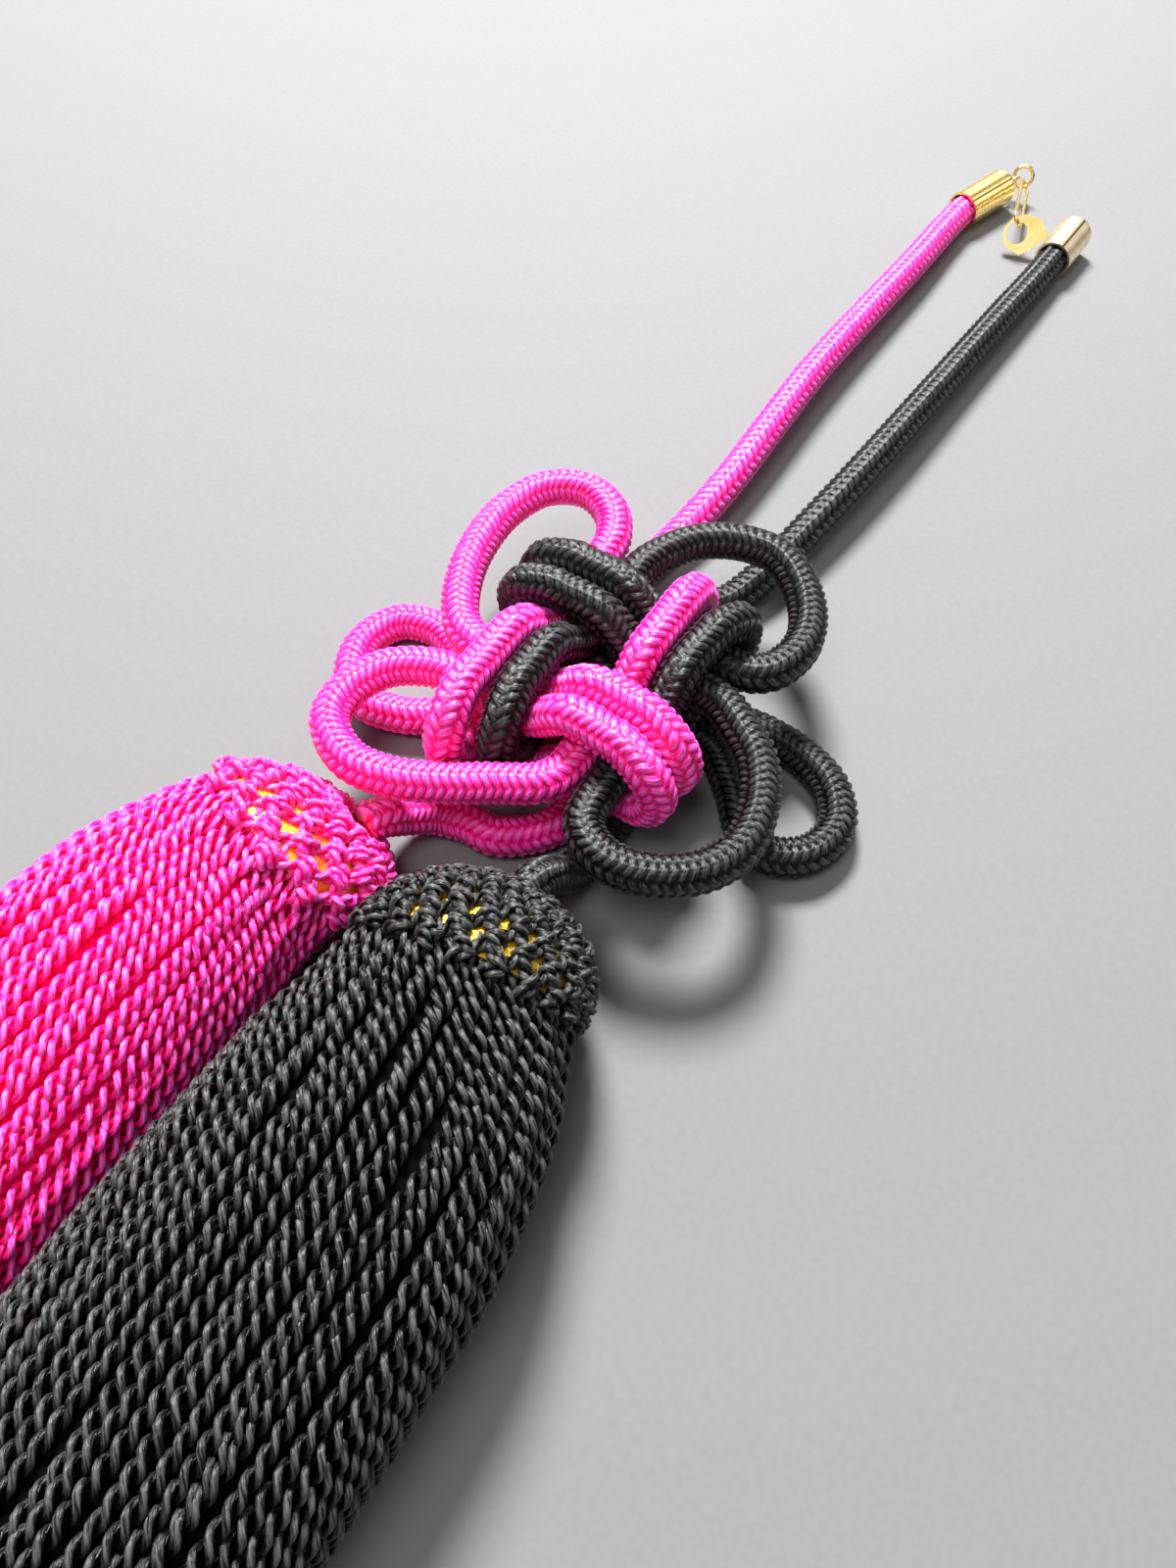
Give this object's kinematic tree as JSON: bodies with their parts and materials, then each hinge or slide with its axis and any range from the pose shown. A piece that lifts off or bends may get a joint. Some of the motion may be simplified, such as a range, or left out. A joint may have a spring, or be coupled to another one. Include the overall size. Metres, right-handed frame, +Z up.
{
  "type": "knotted tassel",
  "caption": "Flat decorative knot of pink and black braided cord with loops, gold end caps and a small ring clasp above, and a pair of netted, long-skirted tassels below.",
  "frame": {"origin": "centre of the whole outline, on the table that the part lies on", "axes": "+X toward the black cord's side, +Y from the tassels toward the clasp, +Z up from the table"},
  "size_m": [0.0954, 0.3786, 0.0348],
  "materials": {
    "pink_braid": "satin",
    "black_braid": "satin",
    "pink_yarn": "satin",
    "black_yarn": "satin",
    "gold_metal": "polished",
    "pale_gold_metal": "brushed",
    "gold_core": "gloss"
  },
  "bodies": {
    "root": {"pink_cord": "pink_braid", "black_cord": "black_braid", "pink_end_cap": "gold_metal", "black_end_cap": "pale_gold_metal", "jump_ring": "gold_metal", "long_link": "gold_metal", "clasp_plate": "gold_metal", "pink_head_core": "gold_core", "black_head_core": "gold_core", "pink_head_net": "pink_yarn", "black_head_net": "black_yarn", "pink_skirt": "pink_yarn", "black_skirt": "black_yarn"}
  },
  "joints": []
}
